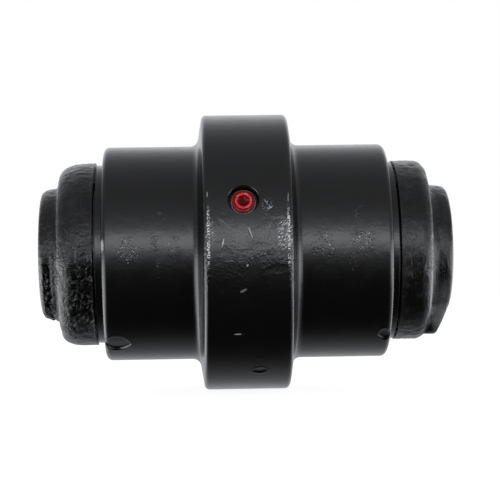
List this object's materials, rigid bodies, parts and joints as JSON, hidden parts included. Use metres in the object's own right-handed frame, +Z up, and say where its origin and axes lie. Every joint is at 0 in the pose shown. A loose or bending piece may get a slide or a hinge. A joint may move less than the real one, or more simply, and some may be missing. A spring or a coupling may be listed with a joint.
{
  "type": "track roller",
  "caption": "Central-flange track roller with two smooth treads, an oil plug in the flange and a fixed shaft held by a cast collar at each end.",
  "frame": {"origin": "on the roller's axis of rotation, midway between the two collars' end faces", "axes": "+X along the axis of rotation, towards the collar with the foot; +Z up, away from that foot; -Y towards the side that carries the oil plug"},
  "size_m": [0.1964, 0.1332, 0.1332],
  "materials": {
    "black_paint": "satin black paint on machined steel",
    "rough_black_paint": "satin black paint on rough cast iron",
    "red_plug": "glossy red",
    "aluminium": "dull",
    "ground_steel": "ground",
    "bronze": "machined",
    "seal_iron": "lapped",
    "rubber": "matte"
  },
  "bodies": {
    "axle": {"shaft": "ground_steel", "left_collar": "rough_black_paint", "right_collar": "rough_black_paint", "left_fixed_seal_ring": "seal_iron", "right_fixed_seal_ring": "seal_iron", "left_fixed_toric_ring": "rubber", "right_fixed_toric_ring": "rubber", "left_shaft_o_ring": "rubber", "right_shaft_o_ring": "rubber", "left_lock_pin": "ground_steel", "right_lock_pin": "ground_steel"},
    "roller": {"shell": "black_paint", "oil_plug": "red_plug", "plug_washer": "aluminium", "left_bushing": "bronze", "right_bushing": "bronze", "left_turning_seal_ring": "seal_iron", "right_turning_seal_ring": "seal_iron", "left_turning_toric_ring": "rubber", "right_turning_toric_ring": "rubber"}
  },
  "joints": [
    {"name": "roller_spin", "type": "hinge", "parent": "axle", "child": "roller", "pos_m": [0, 0, 0], "axis": [1, 0, 0], "continuous": true}
  ]
}
